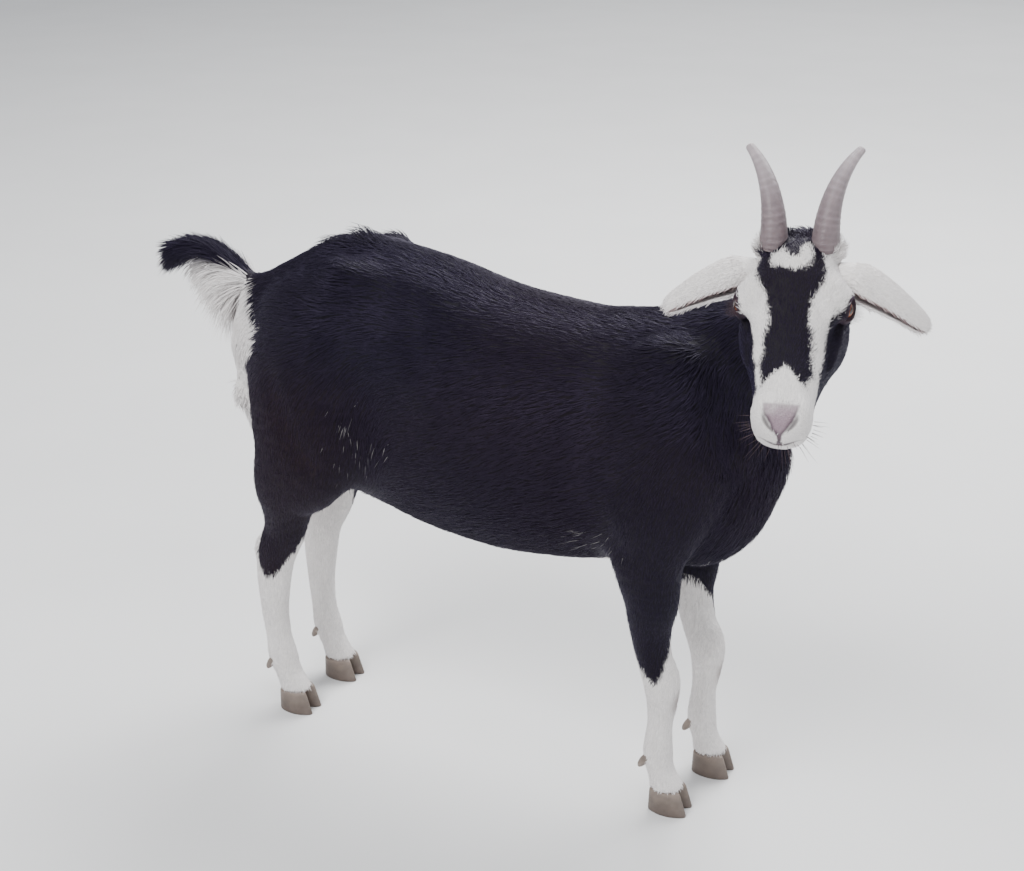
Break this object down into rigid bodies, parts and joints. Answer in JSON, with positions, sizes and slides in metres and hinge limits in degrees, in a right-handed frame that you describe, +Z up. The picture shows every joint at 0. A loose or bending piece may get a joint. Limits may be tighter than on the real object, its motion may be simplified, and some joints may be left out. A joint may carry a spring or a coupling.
{
  "type": "horned crossbred nubian doe goat model",
  "caption": "Life-size standing goat with its head turned aside, raised tail, horns, drooping ears and cloven claws.",
  "frame": {"origin": "on the floor, under the centre of the whole model's bounding box", "axes": "+X along the back towards the chest, +Y to the goat's left, +Z up"},
  "size_m": [1.1192, 0.4342, 0.9484],
  "materials": {
    "coat": "short black and white hair, satin",
    "horn": "ridged grey-brown keratin",
    "eye": "wet amber",
    "claw": "dull dark keratin"
  },
  "bodies": {
    "root": {"torso": "coat", "neck": "coat", "eye_right": "eye", "horn_right": "horn", "ear_right": "coat", "eye_left": "eye", "horn_left": "horn", "ear_left": "coat", "head": "coat", "tail": "coat", "foreleg_right_forearm": "coat", "foreleg_right_cannon": "coat", "foreleg_right_claw_inner": "claw", "foreleg_right_dewclaw_inner": "claw", "foreleg_right_claw_outer": "claw", "foreleg_right_dewclaw_outer": "claw", "foreleg_left_forearm": "coat", "foreleg_left_cannon": "coat", "foreleg_left_claw_inner": "claw", "foreleg_left_dewclaw_inner": "claw", "foreleg_left_claw_outer": "claw", "foreleg_left_dewclaw_outer": "claw", "hindleg_right_thigh": "coat", "hindleg_right_cannon": "coat", "hindleg_right_claw_inner": "claw", "hindleg_right_dewclaw_inner": "claw", "hindleg_right_claw_outer": "claw", "hindleg_right_dewclaw_outer": "claw", "hindleg_left_thigh": "coat", "hindleg_left_cannon": "coat", "hindleg_left_claw_inner": "claw", "hindleg_left_dewclaw_inner": "claw", "hindleg_left_claw_outer": "claw", "hindleg_left_dewclaw_outer": "claw"}
  },
  "joints": []
}
